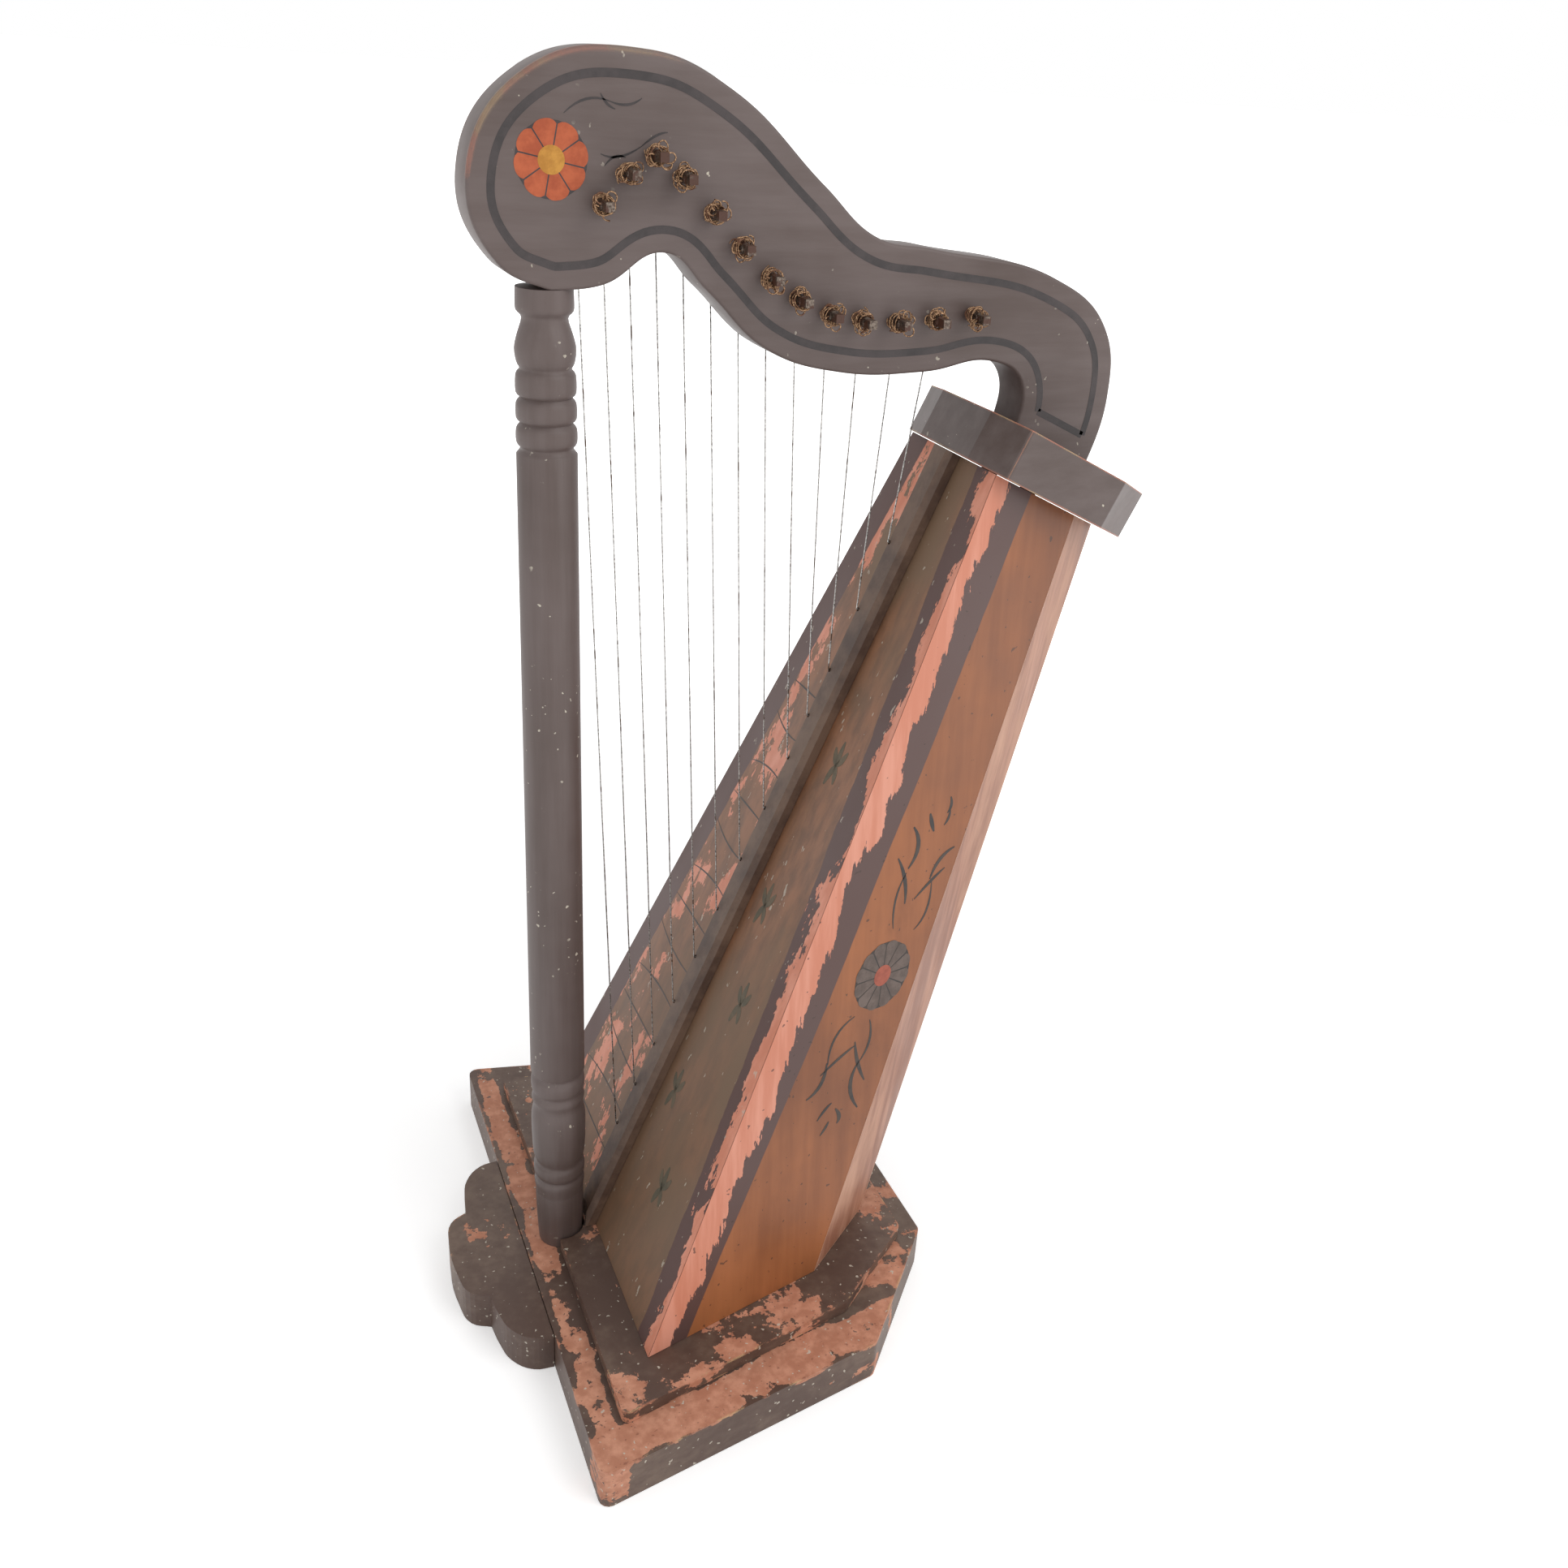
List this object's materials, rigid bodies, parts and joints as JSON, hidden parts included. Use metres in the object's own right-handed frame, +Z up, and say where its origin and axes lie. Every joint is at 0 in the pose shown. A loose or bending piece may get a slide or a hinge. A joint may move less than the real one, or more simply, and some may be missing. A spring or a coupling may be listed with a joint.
{
  "type": "table harp",
  "caption": "Small folk harp on a stepped base: turned column, curved neck with tuning pins, tapered soundbox with a ribbed soundboard, wire strings",
  "frame": {"origin": "on the floor, under the middle of the harp's bounding box", "axes": "+X runs from the column towards the soundbox, +Y towards the side that carries the strings, +Z up"},
  "size_m": [0.3342, 0.2978, 0.5806],
  "materials": {
    "base_paint": "worn paint over salmon undercoat",
    "board_stain": "faded stain with painted sprays",
    "amber_stain": "orange-brown stain",
    "dark_paint": "worn dark grey-brown paint",
    "bare_wood": "bare",
    "steel": "dull",
    "rusty_wire": "rusty"
  },
  "bodies": {
    "frame": {"base_slab": "base_paint", "plinth": "base_paint", "front_foot": "base_paint", "soundboard": "board_stain", "far_side_panel": "amber_stain", "far_rear_panel": "amber_stain", "back_panel": "dark_paint", "near_rear_panel": "amber_stain", "near_side_panel": "amber_stain", "bottom_block": "bare_wood", "top_block": "bare_wood", "cap": "dark_paint", "string_rib": "dark_paint", "column": "dark_paint", "neck": "dark_paint", "neck_dowel_front": "bare_wood", "neck_dowel_rear": "bare_wood", "base_screw_1": "steel", "base_screw_2": "steel", "string_01": "steel", "string_02": "steel", "string_03": "steel", "string_04": "steel", "string_05": "steel", "string_06": "steel", "string_07": "steel", "string_08": "steel", "string_09": "steel", "string_10": "steel", "string_11": "steel", "string_12": "steel", "string_13": "steel"},
    "pin_01": {"tuning_pin_01": "steel", "winding_01": "rusty_wire"},
    "pin_02": {"tuning_pin_02": "steel", "winding_02": "rusty_wire"},
    "pin_03": {"tuning_pin_03": "steel", "winding_03": "rusty_wire"},
    "pin_04": {"tuning_pin_04": "steel", "winding_04": "rusty_wire"},
    "pin_05": {"tuning_pin_05": "steel", "winding_05": "rusty_wire"},
    "pin_06": {"tuning_pin_06": "steel", "winding_06": "rusty_wire"},
    "pin_07": {"tuning_pin_07": "steel", "winding_07": "rusty_wire"},
    "pin_08": {"tuning_pin_08": "steel", "winding_08": "rusty_wire"},
    "pin_09": {"tuning_pin_09": "steel", "winding_09": "rusty_wire"},
    "pin_10": {"tuning_pin_10": "steel", "winding_10": "rusty_wire"},
    "pin_11": {"tuning_pin_11": "steel", "winding_11": "rusty_wire"},
    "pin_12": {"tuning_pin_12": "steel", "winding_12": "rusty_wire"},
    "pin_13": {"tuning_pin_13": "steel", "winding_13": "rusty_wire"}
  },
  "joints": [
    {"name": "pin_turn_01", "type": "hinge", "parent": "frame", "child": "pin_01", "pos_m": [-0.09168, 0, 0.52819], "axis": [0, 1, 0], "continuous": true},
    {"name": "pin_turn_02", "type": "hinge", "parent": "frame", "child": "pin_02", "pos_m": [-0.08172, 0, 0.53908], "axis": [0, 1, 0], "continuous": true},
    {"name": "pin_turn_03", "type": "hinge", "parent": "frame", "child": "pin_03", "pos_m": [-0.07142, 0, 0.54538], "axis": [0, 1, 0], "continuous": true},
    {"name": "pin_turn_04", "type": "hinge", "parent": "frame", "child": "pin_04", "pos_m": [-0.06017, 0, 0.53817], "axis": [0, 1, 0], "continuous": true},
    {"name": "pin_turn_05", "type": "hinge", "parent": "frame", "child": "pin_05", "pos_m": [-0.04838, 0, 0.52592], "axis": [0, 1, 0], "continuous": true},
    {"name": "pin_turn_06", "type": "hinge", "parent": "frame", "child": "pin_06", "pos_m": [-0.03632, 0, 0.51403], "axis": [0, 1, 0], "continuous": true},
    {"name": "pin_turn_07", "type": "hinge", "parent": "frame", "child": "pin_07", "pos_m": [-0.02384, 0, 0.50283], "axis": [0, 1, 0], "continuous": true},
    {"name": "pin_turn_08", "type": "hinge", "parent": "frame", "child": "pin_08", "pos_m": [-0.01109, 0, 0.49462], "axis": [0, 1, 0], "continuous": true},
    {"name": "pin_turn_09", "type": "hinge", "parent": "frame", "child": "pin_09", "pos_m": [0.00242, 0, 0.48891], "axis": [0, 1, 0], "continuous": true},
    {"name": "pin_turn_10", "type": "hinge", "parent": "frame", "child": "pin_10", "pos_m": [0.01712, 0, 0.48638], "axis": [0, 1, 0], "continuous": true},
    {"name": "pin_turn_11", "type": "hinge", "parent": "frame", "child": "pin_11", "pos_m": [0.03303, 0, 0.48585], "axis": [0, 1, 0], "continuous": true},
    {"name": "pin_turn_12", "type": "hinge", "parent": "frame", "child": "pin_12", "pos_m": [0.05067, 0, 0.48652], "axis": [0, 1, 0], "continuous": true},
    {"name": "pin_turn_13", "type": "hinge", "parent": "frame", "child": "pin_13", "pos_m": [0.06898, 0, 0.48782], "axis": [0, 1, 0], "continuous": true}
  ]
}
